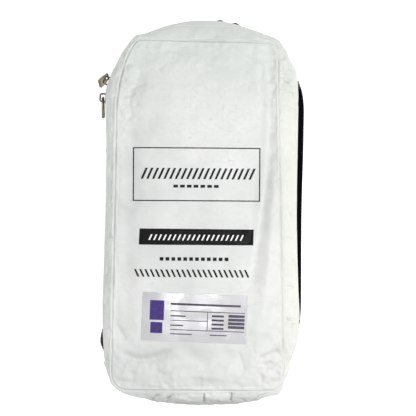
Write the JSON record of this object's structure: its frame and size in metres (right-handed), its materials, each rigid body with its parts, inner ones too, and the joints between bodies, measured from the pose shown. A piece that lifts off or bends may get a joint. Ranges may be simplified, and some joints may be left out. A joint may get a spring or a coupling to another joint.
{
  "type": "zip case for a sliding mitt",
  "caption": "Zip case of white sheet lying on its back: long domed front panel, gussets all round, black coil zip round the sides and top with metal pull tabs, and a stuck-on label.",
  "frame": {"origin": "on the back panel's outer face, which the case lies on, about under the middle of the front panel", "axes": "+X to the right and +Y to the top of the case as it is seen from the front, +Z out of the front panel, up from the surface it lies on"},
  "size_m": [0.1945, 0.358, 0.0494],
  "materials": {
    "white_sheet": "spun-bonded sheet, softly crumpled, matt with a faint sheen",
    "zip_tape": "woven polyester tape, matt",
    "zip_coil": "nylon coil, slightly shiny",
    "zip_metal": "antique nickel plate on zinc, worn bright at the edges",
    "label_film": "silver-grey printed film, glossy"
  },
  "bodies": {
    "case": {"front_panel": "white_sheet", "back_panel": "white_sheet", "front_gusset_left": "white_sheet", "front_gusset_top": "white_sheet", "front_gusset_right": "white_sheet", "back_gusset": "white_sheet", "bottom_gusset": "white_sheet", "zip_tape_front": "zip_tape", "zip_tape_back": "zip_tape", "zip_coil_front": "zip_coil", "zip_coil_back": "zip_coil", "slider_lower": "zip_metal", "slider_upper": "zip_metal", "label": "label_film"},
    "pull_tab_lower": {"pull_tab_lower": "zip_metal"},
    "pull_tab_upper": {"pull_tab_upper": "zip_metal"}
  },
  "joints": [
    {"name": "pull_tab_lower_hinge", "type": "hinge", "parent": "case", "child": "pull_tab_lower", "pos_m": [-0.09374, 0.10811, 0.0215], "axis": [-0.2916, 0.0211, -0.9563], "range_deg": [0, 150]},
    {"name": "pull_tab_upper_hinge", "type": "hinge", "parent": "case", "child": "pull_tab_upper", "pos_m": [-0.08909, 0.128, 0.0235], "axis": [0.2796, -0.9412, 0.1897], "range_deg": [-8, 22]}
  ]
}
